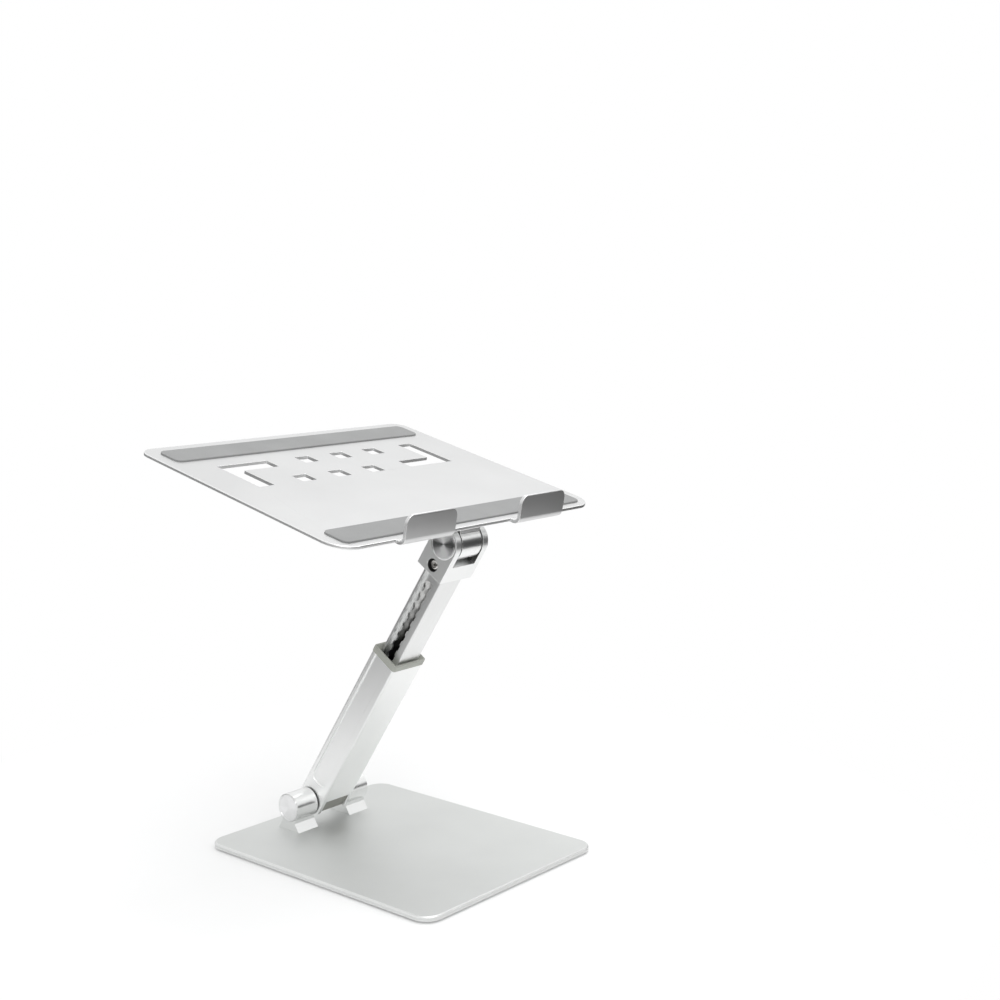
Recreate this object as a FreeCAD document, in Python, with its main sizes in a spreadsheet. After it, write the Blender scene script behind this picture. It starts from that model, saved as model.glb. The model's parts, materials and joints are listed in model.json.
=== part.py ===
"""Laptop stand: base plate, folding telescopic column and tilting tray.

Frame: millimetres, X to the user's right, Y away from the user, Z up.  The origin is on
the desk, under the middle of the base plate.  The column is drawn in its own frame, Z
along the column and Y towards its back, with the lower hinge axis as X; the tray and its
bracket in theirs, Z normal to the tray and the upper hinge axis as X.
"""
import FreeCAD, Part
import os
import re
import Sketcher

# ---------------------------------------------------------------- driving dimensions
DIMENSIONS = {
    # base plate and feet
    "base_width": 181.0, "base_depth": 222.0, "base_thick": 4.0, "base_corner": 13.0,
    "base_edge": 0.8, "foot_long": 34.0, "foot_wide": 16.0, "foot_proud": 1.2,
    "foot_sunk": 0.8, "foot_inset": 14.0,
    # lower hinge
    "hinge_back": 82.0, "hinge_high": 22.6, "ear_radius": 11.0, "ear_inner": 16.6,
    "ear_outer": 36.4, "ear_foot": 11.1, "ear_crease": 6.8, "axle_radius": 4.0,
    "running_gap": 0.05, "ear_bore": 8.6, "ear_bore_floor": 25.0, "cap_thick": 2.4,
    "ear_rise": 6.4, "knuckle_radius": 9.8, "screw_radius": 2.4, "screw_head": 4.7,
    # outer column
    "lean": 33.3, "outer_half": 15.5, "outer_front": 12.1, "outer_bottom": 3.0,
    "outer_top": 146.5, "outer_round": 1.5, "bore_half": 11.9, "bore_front": 10.7,
    "bore_back": 9.7, "recess_deep": 1.2, "recess_front": 6.5, "recess_back": 8.5,
    "recess_low": 18.5, "recess_round": 5.0, "recess_slope": 1.0, "notch_half": 11.7, "notch_top": 9.5,
    "plug_top": 18.0,
    # collar and release button
    "collar_proud": 0.6, "collar_top": 151.3, "sleeve_low": 126.5, "mouth_half": 10.95,
    "mouth_front": 10.05, "mouth_back": 8.75, "button_high": 139.5, "button_back": 1.0,
    "button_radius": 6.0, "button_face": 18.9, "button_rim": 6.6, "pin_radius": 2.1,
    "tongue_outer": 16.0,
    # inner column
    "inner_half": 10.7, "inner_front": 9.8, "inner_back": 8.5, "inner_low": 112.0,
    "inner_top": 242.0, "web_outer": 7.7, "web_inner": 5.7, "channel_half": 5.2,
    "pocket_radius": 3.8, "throat_half": 2.3, "pocket_pitch": 9.5,
    # head fork and upper hinge
    "pivot_high": 256.0, "head_half": 16.4, "head_radius": 12.4, "head_low": 230.1,
    "cheek_inner": 11.2, "cap_seat": 14.0, "fork_floor": 244.2, "head_screw": 237.2,
    "head_screw_hole": 4.8, "screw_floor": 12.0, "head_cap": 11.0, "barrel_radius": 12.2,
    "barrel_half": 10.0,
    # tray
    "tilt": 13.2, "tray_width": 262.0, "tray_depth": 208.0, "tray_thick": 2.5,
    "tray_rise": 18.0, "tray_ahead": 15.3, "tray_front_round": 18.0,
    "tray_rear_round": 11.0, "pad_long": 242.0, "pad_wide": 23.0, "pad_front": 6.5,
    "pad_rear": 175.5, "pad_proud": 1.2, "pad_sunk": 0.4, "lip_middle": 57.7,
    "lip_wide": 48.0, "lip_reach": 7.2, "lip_high": 18.6, "lip_round": 6.5,
    "flange_thick": 2.0, "flange_half": 32.0,
}
POCKETS = 9                      # locking positions along the wavy slot
NODES = []                       # every finished sub-part, in order


def new_document():
    """Make the document and its sheet of driving dimensions."""
    document = FreeCAD.newDocument("laptop_stand")
    sheet = document.addObject("Spreadsheet::Sheet", "dims")
    for row, (alias, value) in enumerate(DIMENSIONS.items(), start=1):
        sheet.set(f"A{row}", alias)
        sheet.set(f"B{row}", str(value))
        sheet.setAlias(f"B{row}", alias)
    document.recompute()
    return document, sheet


DOC, SHEET = new_document()


def size(alias):
    """Value of one driving dimension."""
    return float(SHEET.get(alias))


def bound(text):
    """Expression text with every driving dimension named through the sheet."""
    text = str(text)
    return re.sub(r"[a-z_]{3,}", lambda word: qualified(word.group(0)), text)


def qualified(word):
    return f"dims.{word}" if word in DIMENSIONS else word


def bind(item, **fields):
    """Bind properties to expressions of the driving dimensions."""
    for field, text in fields.items():
        item.setExpression(field, bound(text))
    return item


def place(item, x=0, y=0, z=0):
    """Bind the position of an object."""
    item.setExpression(".Placement.Base.x", bound(x))
    item.setExpression(".Placement.Base.y", bound(y))
    item.setExpression(".Placement.Base.z", bound(z))
    return item


def box(name, x, y, z):
    """Block between two limits on each axis."""
    item = DOC.addObject("Part::Box", name)
    bind(item, Length=f"({x[1]}) - ({x[0]})", Width=f"({y[1]}) - ({y[0]})",
         Height=f"({z[1]}) - ({z[0]})")
    return place(item, x[0], y[0], z[0])


TURNS = {
    "X": FreeCAD.Rotation(FreeCAD.Vector(0, 1, 0), 90),
    "Y": FreeCAD.Rotation(FreeCAD.Vector(1, 0, 0), -90),
    "Z": FreeCAD.Rotation(),
}


def rod(name, axis, radius, start, end, at):
    """Cylinder along an axis from start to end; at gives the two other coordinates."""
    item = DOC.addObject("Part::Cylinder", name)
    bind(item, Radius=radius, Height=f"({end}) - ({start})")
    return set_along(item, axis, start, at)


def cone(name, axis, radius_start, radius_end, start, end, at):
    """Cone along an axis, from one radius to another."""
    item = DOC.addObject("Part::Cone", name)
    bind(item, Radius1=radius_start, Radius2=radius_end, Height=f"({end}) - ({start})")
    return set_along(item, axis, start, at)


def set_along(item, axis, start, at):
    """Turn a round primitive onto its axis and put its start in place."""
    item.Placement.Rotation = TURNS[axis]
    spot = {"X": (start, at[0], at[1]), "Y": (at[0], start, at[1]),
            "Z": (at[0], at[1], start)}[axis]
    return place(item, *spot)


def fuse(name, items):
    """Union of several objects."""
    item = DOC.addObject("Part::MultiFuse", name)
    item.Shapes = items
    return item


def cut(name, base, tools):
    """Base with every tool removed."""
    item = DOC.addObject("Part::Cut", name)
    item.Base = base
    item.Tool = tools[0] if len(tools) == 1 else fuse(name + "_tools", tools)
    return item


def soften(name, item, radius, wanted, kind="Part::Fillet"):
    """Fillet or chamfer the edges that wanted(edge) picks."""
    DOC.recompute()
    reach = size(radius) if isinstance(radius, str) else radius
    picked = [i for i, edge in enumerate(item.Shape.Edges, start=1) if wanted(edge)]
    result = DOC.addObject(kind, name)
    result.Base = item
    result.Edges = [(i, reach, reach) for i in picked]
    DOC.recompute()
    return result


def along(axis):
    """Test for straight edges that run along an axis."""
    index = "XYZ".index(axis)

    def test(edge):
        ends = [vertex.Point for vertex in edge.Vertexes]
        if len(ends) != 2 or edge.Curve.TypeId != "Part::GeomLine":
            return False
        step = ends[1] - ends[0]
        return abs(step[index]) > 0.999 * step.Length
    return test


def at_height(low, high):
    """Test for edges that lie wholly between two heights."""
    return lambda edge: edge.BoundBox.ZMin > low and edge.BoundBox.ZMax < high


def finish(label, item, frame="base"):
    """Name a sub-part, give it the placement of its frame and keep it for export."""
    item.Label = label
    if frame == "column":
        place(item, 0, "hinge_back", "hinge_high")
        item.Placement.Rotation = FreeCAD.Rotation(FreeCAD.Vector(1, 0, 0), size("lean"))
        item.setExpression(".Placement.Rotation.Angle", "dims.lean")
    if frame == "tray":
        place(item, 0, "hinge_back - pivot_high * sin(lean * 1 deg)",
              "hinge_high + pivot_high * cos(lean * 1 deg)")
        item.Placement.Rotation = FreeCAD.Rotation(FreeCAD.Vector(1, 0, 0), size("tilt"))
        item.setExpression(".Placement.Rotation.Angle", "dims.tilt")
    NODES.append(item)
    return item


# ---------------------------------------------------------------- sketched plates
def value(text):
    """Number that an expression gives."""
    return float(SHEET.evalExpression(bound(text)))


def origin_plane(body, role):
    """One of the body's own origin planes."""
    return next(f for f in body.Origin.OriginFeatures if getattr(f, "Role", "") == role)


def rectangle(body, name, x, y):
    """Rectangle sketch on the body's XY plane with its four limits bound."""
    sketch = body.newObject("Sketcher::SketchObject", name)
    sketch.AttachmentSupport = (origin_plane(body, "XY_Plane"), [""])
    sketch.MapMode = "FlatFace"
    spots = ((x[0], y[0]), (x[1], y[0]), (x[1], y[1]), (x[0], y[1]))
    corners = [FreeCAD.Vector(value(a), value(b), 0) for a, b in spots]
    for i in range(4):
        sketch.addGeometry(Part.LineSegment(corners[i], corners[(i + 1) % 4]), False)
    for i in range(4):
        sketch.addConstraint(Sketcher.Constraint("Coincident", i, 2, (i + 1) % 4, 1))
    for i, way in enumerate(("Horizontal", "Vertical", "Horizontal", "Vertical")):
        sketch.addConstraint(Sketcher.Constraint(way, i))
    limits = (("DistanceX", 0, 1, x[0]), ("DistanceY", 0, 1, y[0]),
              ("DistanceX", 1, 2, x[1]), ("DistanceY", 1, 2, y[1]))
    for way, edge, end, text in limits:
        index = sketch.addConstraint(Sketcher.Constraint(way, -1, 1, edge, end, value(text)))
        sketch.setExpression(f"Constraints[{index}]", bound(text))
    return sketch


def pad(body, name, sketch, length, start="0"):
    """Pad a sketch by a bound length, from a bound start height."""
    bind(sketch, **{"AttachmentOffset.Base.z": start})
    feature = body.newObject("PartDesign::Pad", name)
    feature.Profile = sketch
    bind(feature, Length=length)
    DOC.recompute()
    return feature


def dress(body, kind, name, base, wanted, field, reach):
    """Fillet or chamfer the edges of the last feature that wanted(edge) picks."""
    feature = body.newObject(f"PartDesign::{kind}", name)
    edges = enumerate(base.Shape.Edges, start=1)
    feature.Base = (base, [f"Edge{i}" for i, edge in edges if wanted(edge)])
    bind(feature, **{field: reach})
    DOC.recompute()
    return feature


def plate(name, x, y, z, corner, edge=None):
    """Flat rounded plate as a body, with an optional chamfer round both faces."""
    body = DOC.addObject("PartDesign::Body", name)
    sketch = rectangle(body, name + "_outline", x, y)
    last = pad(body, name + "_pad", sketch, f"({z[1]}) - ({z[0]})", z[0])
    last = dress(body, "Fillet", name + "_corners", last, along("Z"), "Radius", corner)
    if edge is not None:
        flat = lambda e: e.BoundBox.ZLength < 0.001
        last = dress(body, "Chamfer", name + "_edge", last, flat, "Size", edge)
    return body


# ---------------------------------------------------------------- base
PLATE_TOP = "foot_proud + base_thick"


def make_base_plate():
    x = ("-base_width / 2", "base_width / 2")
    y = ("-base_depth / 2", "base_depth / 2")
    slab = plate("base_slab", x, y, ("foot_proud", PLATE_TOP), "base_corner", "base_edge")
    tools = [foot_block(i, "base_pocket", 0.0) for i in range(4)]
    for i, spot in enumerate(base_screw_spots()):
        tools += countersink(f"base_hole_{i}", spot, 0.1)
    finish("base_plate", cut("base_plate", slab, tools))


def foot_block(i, name, inset):
    """One of the four foot outlines in the corners of the plate's underside."""
    side, end = (-1, 1)[i % 2], (-1, 1)[i // 2]
    middle_x = f"{side} * (base_width / 2 - foot_inset - foot_long / 2)"
    middle_y = f"{end} * (base_depth / 2 - foot_inset - foot_wide / 2)"
    x = [f"{middle_x} - foot_long / 2 + {inset}", f"{middle_x} + foot_long / 2 - {inset}"]
    y = [f"{middle_y} - foot_wide / 2 + {inset}", f"{middle_y} + foot_wide / 2 - {inset}"]
    return plate(f"{name}_{i}", x, y, ("0", "foot_proud + foot_sunk"), 3.0)


def make_base_feet():
    finish("base_feet", fuse("base_feet", [foot_block(i, "foot", 0.1) for i in range(4)]))


def base_screw_spots():
    """Middles of the four screws that hold the hinge ears."""
    return [(f"{side} * ({near})", "hinge_back") for side in (-1, 1)
            for near in ("ear_inner + 4.9", "ear_outer - 5.2")]


def countersink(name, spot, gap):
    """Screw shape from the plate's underside: head cone and shank, with a gap round it."""
    head = cone(name + "_cone", "Z", f"screw_head + {gap}", f"screw_radius + {gap}",
                "foot_proud", "foot_proud + screw_head - screw_radius", spot)
    shank = rod(name + "_shank", "Z", f"screw_radius + {gap}",
                "foot_proud + screw_head - screw_radius", f"{PLATE_TOP} + 6 + {gap}", spot)
    return [head, shank]


def make_base_screws():
    screws = []
    for i, spot in enumerate(base_screw_spots()):
        body = fuse(f"base_screw_body_{i}", countersink(f"base_screw_{i}", spot, 0.0))
        key = rod(f"base_screw_key_{i}", "Z", 1.5, "foot_proud - 0.1", "foot_proud + 2", spot)
        screws.append(cut(f"base_screw_solid_{i}", body, [key]))
    finish("base_screws", fuse("base_screws", screws))


def limits(side, near, far):
    """X limits on one side of the middle plane, lower one first."""
    pair = (f"{side} * ({near})", f"{side} * ({far})")
    return pair if side > 0 else pair[::-1]


AXIS = ("hinge_back", "hinge_high")


def make_ear(side, label):
    """Hinge ear: a barrel on a flared foot, bored for the axle and its spring stack."""
    x = limits(side, "ear_inner", "ear_outer")
    barrel = rod(label + "_barrel", "X", "ear_radius", *x, AXIS)
    foot = DOC.addObject("Part::Wedge", label + "_foot")
    bind(foot, Xmin="-ear_foot", Xmax="ear_foot", X2min="-ear_crease", X2max="ear_crease",
         Ymin="0", Ymax="ear_rise", Zmin="0",
         Zmax="ear_outer - ear_inner", Z2min="0", Z2max="ear_outer - ear_inner")
    foot.Placement.Rotation = FreeCAD.Rotation(FreeCAD.Vector(1, 1, 1), 120)
    place(foot, x[0], "hinge_back", PLATE_TOP)
    neck = box(label + "_neck", x, ("hinge_back - ear_crease", "hinge_back + ear_crease"),
               (f"{PLATE_TOP} + ear_rise", "hinge_high"))
    solid = fuse(label + "_solid", [barrel, foot, neck])
    bore = rod(label + "_bore", "X", "axle_radius + running_gap",
               *limits(side, "ear_inner - 1", "ear_outer"), AXIS)
    seat = rod(label + "_seat", "X", "ear_bore",
               *limits(side, "ear_bore_floor", "ear_outer - cap_thick"), AXIS)
    mouth = rod(label + "_mouth", "X", "ear_radius - 0.5",
                *limits(side, "ear_outer - cap_thick", "ear_outer + 1"), AXIS)
    tools = [bore, seat, mouth]
    for i, spot in enumerate(base_screw_spots()):
        tools += [rod(f"{label}_tap_{i}", "Z", "screw_radius + 0.1", "foot_proud",
                      f"{PLATE_TOP} + 6.4", spot)]
    finish(label, cut(label, solid, tools))


def make_cap(label, x, radius, at, side, frame):
    """Turned end cap with a shallow dish in its outer face."""
    disc = rod(label + "_disc", "X", radius, *x, at)
    deep = 0.5
    if side > 0:
        dish = cone(label + "_dish", "X", 0.01, f"{radius} - 0.9", f"{x[1]} - {deep}", x[1], at)
    else:
        dish = cone(label + "_dish", "X", f"{radius} - 0.9", 0.01, x[0], f"{x[0]} + {deep}", at)
    finish(label, cut(label, disc, [dish]), frame)


def make_lower_axle():
    """Steel axle with bevelled ends, held in the ears by a nut on each end."""
    finish("lower_axle", bevelled("lower_axle", "ear_outer - cap_thick - 1", AXIS))


def bevelled(name, half, at):
    """Round bar along X with a small bevel at each end."""
    bevel = 0.6
    bar = rod(name + "_bar", "X", "axle_radius", f"-({half}) + {bevel}", f"{half} - {bevel}", at)
    ends = [cone(name + "_left", "X", f"axle_radius - {bevel}", "axle_radius",
                 f"-({half})", f"-({half}) + {bevel}", at),
            cone(name + "_right", "X", "axle_radius", f"axle_radius - {bevel}",
                 f"{half} - {bevel}", half, at)]
    return fuse(name, [bar] + ends)


def ring(name, x, outer, inner, at):
    """Washer between two X limits."""
    disc = rod(name + "_disc", "X", outer, *x, at)
    hole = rod(name + "_hole", "X", inner, f"{x[0]} - 1", f"{x[1]} + 1", at)
    return cut(name, disc, [hole])


def make_lower_friction_set():
    """Friction washers beside the knuckle, disc springs and nuts inside the ears."""
    washers, springs, nuts = [], [], []
    for side, word in ((-1, "left"), (1, "right")):
        washers.append(ring(f"lower_washer_{word}", limits(side, "outer_half + 0.1", "ear_inner"),
                            "ear_radius - 1.6", "axle_radius + running_gap", AXIS))
        for i in range(2):
            springs.append(disc_spring(f"lower_spring_{word}_{i}", side, i))
        nuts.append(nut(f"lower_nut_{word}", side))
    finish("lower_friction_washers", fuse("lower_friction_washers", washers))
    finish("lower_disc_springs", fuse("lower_disc_springs", springs))
    finish("lower_lock_nuts", fuse("lower_lock_nuts", nuts))


def disc_spring(name, side, i):
    """Coned washer, the second one turned round, so that the pair forms a diamond."""
    start = f"ear_bore_floor + {i} * 1.6"
    x = limits(side, start, f"{start} + 1.5")
    wide, narrow = ("ear_bore - 0.4", "ear_bore - 2")
    ends = (wide, narrow) if (i == 0) == (side > 0) else (narrow, wide)
    body = cone(name + "_body", "X", *ends, *x, AXIS)
    hole = rod(name + "_hole", "X", "axle_radius + 0.15", f"{x[0]} - 1", f"{x[1]} + 1", AXIS)
    return cut(name, body, [hole])


def nut(name, side):
    """Hexagon nut on the axle's end."""
    x = limits(side, "ear_bore_floor + 3.3", "33.4")
    item = DOC.addObject("Part::Prism", name + "_hex")
    item.Polygon = 6
    bind(item, Circumradius="ear_bore - 1", Height=f"({x[1]}) - ({x[0]})")
    set_along(item, "X", x[0], AXIS)
    hole = rod(name + "_hole", "X", "axle_radius", f"{x[0]} - 1", f"{x[1]} + 1", AXIS)
    return cut(name, item, [hole])


# ---------------------------------------------------------------- outer column
ORIGIN = ("0", "0")
BUTTON = ("button_back", "button_high")


def long_box(name, half, front, back, low, top, corner=None):
    """Block about the column's middle plane, with its long edges rounded."""
    item = box(name, (f"-({half})", half), (f"-({front})", back), (low, top))
    return soften(name + "_round", item, corner, along("Z")) if corner else item


def make_outer_column():
    tube = long_box("outer_tube", "outer_half", "outer_front", "outer_front",
                    "-outer_bottom", "outer_top", "outer_round")
    tools = [long_box("outer_bore", "bore_half", "bore_front", "bore_back",
                      "-outer_bottom - 1", "outer_top + 1", 1.0),
             rod("knuckle_room", "X", "knuckle_radius + 0.2", "-outer_half - 1",
                 "outer_half + 1", ORIGIN),
             box("notch", ("-notch_half", "notch_half"), ("-outer_front - 1", "-bore_front + 0.9"),
                 ("-outer_bottom - 1", "notch_top")),
             rod("button_room", "X", "button_rim + 0.3", 0, "outer_half + 1", BUTTON)]
    tools += [recess(side) for side in (-1, 1)]
    tools += [rod(f"knuckle_screw_hole_{i}", "Y", 2.0, "bore_back - 1", "outer_front + 1",
                  (spot, "plug_top - 4.5")) for i, spot in enumerate(("-6", "6"))]
    tools += [cone(f"knuckle_screw_sink_{i}", "Y", 2.0, 3.9, "outer_front - 1.9",
                   "outer_front", (spot, "plug_top - 4.5")) for i, spot in enumerate(("-6", "6"))]
    finish("outer_column", cut("outer_column", tube, tools), "column")


def stadium(name, x, y, low, high, radius):
    """Long bar between two X limits with a rounded lower end, narrow edges still sharp."""
    inner = (f"{y[0]} + {radius}", f"{y[1]} - {radius}")
    parts = [box(name + "_wide", x, y, (f"{low} + {radius}", high)),
             box(name + "_narrow", x, inner, (low, f"{low} + {radius} + 1"))]
    for i in range(2):
        parts.append(rod(f"{name}_corner_{i}", "X", radius, *x,
                         (inner[i], f"{low} + {radius}")))
    joined = fuse(name, parts)
    joined.Refine = True
    return joined


def in_plane(place_x):
    """Test for edges that lie in the plane across X at a place."""
    spot = value(place_x)
    return lambda e: abs(e.BoundBox.XMin - spot) < 0.001 and abs(e.BoundBox.XMax - spot) < 0.001


def recess(side):
    """Long shallow recess in one side face, with a rounded lower end and sloping walls."""
    name = f"recess_{'left' if side < 0 else 'right'}"
    floor = f"{side} * (outer_half - recess_deep)"
    bar = stadium(name, limits(side, "outer_half - recess_deep", "outer_half + 1"),
                  ("-recess_front", "recess_back"), "recess_low", "outer_top + 1",
                  "recess_round")
    return soften(name + "_slope", bar, "recess_slope", in_plane(floor))


def make_knuckle():
    """Hinge knuckle: a barrel between the ears with a plug up the column's bore."""
    barrel = rod("knuckle_barrel", "X", "knuckle_radius", "-outer_half + 0.1",
                 "outer_half - 0.1", ORIGIN)
    plug = long_box("knuckle_plug", "bore_half", "bore_front", "bore_back", "0", "plug_top", 1.0)
    relief = box("knuckle_relief", ("-20", "20"), ("-20", "-knuckle_radius"), ("-20", "notch_top"))
    tools = [relief, rod("knuckle_bore", "X", "axle_radius + running_gap", "-20", "20", ORIGIN)]
    tools += [rod(f"knuckle_tap_{i}", "Y", 1.6, "2", "bore_back + 1", (spot, "plug_top - 4.5"))
              for i, spot in enumerate(("-6", "6"))]
    solid = fuse("knuckle_solid", [barrel, plug])
    finish("column_knuckle", cut("column_knuckle", solid, tools), "column")


def make_knuckle_screws():
    screws = []
    for i, spot in enumerate(("-6", "6")):
        at = (spot, "plug_top - 4.5")
        body = fuse(f"knuckle_screw_body_{i}", [
            cone(f"knuckle_screw_head_{i}", "Y", 1.9, 3.7, "outer_front - 1.9",
                 "outer_front - 0.1", at),
            rod(f"knuckle_screw_shank_{i}", "Y", 1.5, "3", "outer_front - 1.9", at)])
        key = rod(f"knuckle_screw_key_{i}", "Y", 1.2, "outer_front - 1.3", "outer_front", at)
        screws.append(cut(f"knuckle_screw_{i}", body, [key]))
    finish("knuckle_screws", fuse("knuckle_screws", screws), "column")


def make_notch_insert():
    """Plastic strip behind the notch in the front wall."""
    strip = box("notch_strip", ("-notch_half + 0.1", "notch_half - 0.1"),
                ("-outer_front + 1.1", "-knuckle_radius - 0.15"),
                ("-outer_bottom + 0.8", "notch_top - 0.1"))
    groove = box("notch_groove", ("-notch_half + 1.2", "notch_half - 1.2"),
                 ("-outer_front", "-outer_front + 1.5"),
                 ("-outer_bottom + 2", "notch_top - 1.3"))
    finish("notch_insert", cut("notch_insert", strip, [groove]), "column")


def make_collar():
    """Collar with a funnel mouth, a guide sleeve and a tongue round the button."""
    outer = "outer_front + collar_proud"
    head = soften("collar_soft", long_box("collar_head", "outer_half + collar_proud", outer,
                                          outer, "outer_top", "collar_top", 2.4),
                  0.5, at_height(size("collar_top") - 0.1, 999))
    sleeve = long_box("collar_sleeve", "bore_half - 0.1", "bore_front - 0.1", "bore_back - 0.1",
                      "sleeve_low", "outer_top + 1", 0.9)
    x = ("outer_half - recess_deep + 0.05", "tongue_outer")
    y = ("-recess_front + 0.1", "recess_back - 0.1")
    bar = stadium("tongue_bar", x, y, "button_high - (recess_front + recess_back) / 2 + 0.1",
                  "outer_top + 1", "((recess_front + recess_back) / 2 - 0.11)")
    tongue = soften("tongue", bar, size("recess_slope") + 0.1, in_plane(x[0]))
    mouth = long_box("collar_mouth", "mouth_half", "mouth_front", "mouth_back",
                     "sleeve_low - 1", "collar_top + 1", 0.7)
    tools = [mouth, funnel(),
             rod("bezel_bore", "X", "button_radius + 0.1", "outer_half - 2", "20", BUTTON),
             rod("bezel_seat", "X", "button_rim + 0.2", "outer_half - 2", "15.1", BUTTON),
             rod("pin_guide", "X", "pin_radius + running_gap", "8", "14", BUTTON)]
    solid = fuse("collar_solid", [head, sleeve, tongue])
    finish("collar", cut("collar", solid, tools), "column")


def funnel():
    """Tapered mouth at the collar's top."""
    item = DOC.addObject("Part::Wedge", "funnel")
    bind(item, Xmin="-mouth_half", Xmax="mouth_half", X2min="-14.6", X2max="14.6",
         Ymin="0", Ymax="3", Zmin="-mouth_back", Zmax="mouth_front",
         Z2min="-11", Z2max="11")
    item.Placement.Rotation = FreeCAD.Rotation(FreeCAD.Vector(1, 0, 0), 90)
    return place(item, 0, 0, "collar_top - 2.9")


# ---------------------------------------------------------------- release button
def make_button():
    """Cup-shaped push button with a dished face and a rim that the bezel holds."""
    cup = rod("button_cup", "X", "button_radius", "14.3", "button_face", BUTTON)
    rim = rod("button_flange", "X", "button_rim", "14.3", "15.0", BUTTON)
    well = rod("button_well", "X", "4.6", "14", "17.4", BUTTON)
    dish = cone("button_dish", "X", 1.2, "button_radius - 0.9", "button_face - 0.9",
                "button_face", BUTTON)
    boss = rod("button_boss", "X", "pin_radius + 0.6", "15.6", "17.5", BUTTON)
    hollow = cut("button_hollow", fuse("button_solid", [cup, rim]), [well, dish])
    hole = rod("button_hole", "X", "pin_radius", "15", "17.4", BUTTON)
    shell = cut("release_button", fuse("button_shell", [hollow, boss]), [hole])
    finish("release_button", shell, "column")


def make_lock_pin():
    """Pin that crosses both webs of the inner column, with a pointed end."""
    shaft = rod("pin_shaft", "X", "pin_radius", "-7.9", "17.4", BUTTON)
    tip = cone("pin_tip", "X", 1.5, "pin_radius", "-8.4", "-7.9", BUTTON)
    finish("lock_pin", fuse("lock_pin", [shaft, tip]), "column")


def make_button_spring():
    """Flat-wire spring between the sleeve and the button's well, as a stack of turns."""
    turns = []
    for i in range(3):
        start = f"bore_half + 0.2 + {i} * 0.7"
        turns.append(ring(f"spring_turn_{i}", (start, f"{start} + 0.4"), 3.8, 3.0, BUTTON))
    finish("button_spring", fuse("button_spring", turns), "column")


# ---------------------------------------------------------------- inner column
def make_inner_column():
    """Sliding extrusion: open channels at both sides, wavy locking slots in their floors."""
    bar = long_box("inner_bar", "inner_half", "inner_front", "inner_back", "inner_low",
                   "inner_top", 1.0)
    hollow = box("inner_hollow", ("-web_inner", "web_inner"),
                 ("-inner_front + 2.2", "inner_back - 2"), ("inner_low - 1", "inner_top + 1"))
    middle = "button_back"
    tools = [hollow]
    for side in (-1, 1):
        tools.append(box(f"channel_{side + 1}", limits(side, "web_outer", "inner_half + 1"),
                         (f"{middle} - channel_half", f"{middle} + channel_half"),
                         ("inner_low - 1", "inner_top + 1")))
    tools += wavy_slot()
    tools.append(rod("inner_screw_hole", "X", 2.1, "-20", "20", ("0", "head_screw")))
    finish("inner_column", cut("inner_column", bar, tools), "column")


def wavy_slot():
    """Row of round pockets joined by narrower throats, through both webs."""
    through = ("-web_outer - 1", "web_outer + 1")
    last = POCKETS - 1
    throat = box("throat", through,
                 ("button_back - throat_half", "button_back + throat_half"),
                 ("button_high", f"button_high + {last} * pocket_pitch"))
    pockets = [rod(f"pocket_{i}", "X", "pocket_radius", *through,
                   ("button_back", f"button_high + {i} * pocket_pitch"))
               for i in range(POCKETS)]
    return [throat] + pockets


def make_slide_shoe():
    """Plastic shoe round the inner column's lower end, which meets the sleeve at full height."""
    body = long_box("shoe_body", "bore_half - 0.3", "bore_front - 0.3", "bore_back - 0.3",
                    "inner_low - 2", "sleeve_low - 0.5", 0.8)
    room = long_box("shoe_room", "inner_half + 0.05", "inner_front + 0.05", "inner_back + 0.05",
                    "inner_low", "sleeve_low", 0.9)
    finish("slide_shoe", cut("slide_shoe", body, [room]), "column")


# ---------------------------------------------------------------- head
PIVOT = ("0", "pivot_high")
SCREW = ("0", "head_screw")


def make_head():
    """Fork on the inner column's top with two round-ended cheeks."""
    x = ("-head_half", "head_half")
    block = box("head_block", x, ("-head_radius", "head_radius"), ("head_low", "pivot_high"))
    round_end = rod("head_end", "X", "head_radius", *x, PIVOT)
    tools = [box("fork_gap", ("-cheek_inner", "cheek_inner"), ("-20", "20"),
                 ("fork_floor", "pivot_high + 20")),
             rod("fork_relief", "X", "barrel_radius + 0.3", "-cheek_inner", "cheek_inner", PIVOT),
             long_box("head_socket", "inner_half", "inner_front", "inner_back",
                      "head_low - 1", "inner_top", 1.0),
             rod("head_bore", "X", "axle_radius", "-20", "20", PIVOT)]
    for side in (-1, 1):
        tools.append(rod(f"cap_seat_{side + 1}", "X", "head_cap + 0.1",
                         *limits(side, "cap_seat", "head_half + 1"), PIVOT))
        tools.append(rod(f"screw_seat_{side + 1}", "X", "head_screw_hole",
                         *limits(side, "screw_floor", "head_half + 1"), SCREW))
        tools.append(rod(f"screw_way_{side + 1}", "X", 2.1,
                         *limits(side, "inner_half - 1", "head_half"), SCREW))
    soft = soften("head_soft", fuse("head_solid", [block, round_end]), 0.6, bottom_edge)
    finish("head_fork", cut("head_fork", soft, tools), "column")


def bottom_edge(edge):
    """The outline of the head's lower face."""
    return edge.BoundBox.ZMax < size("head_low") + 0.01


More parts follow.
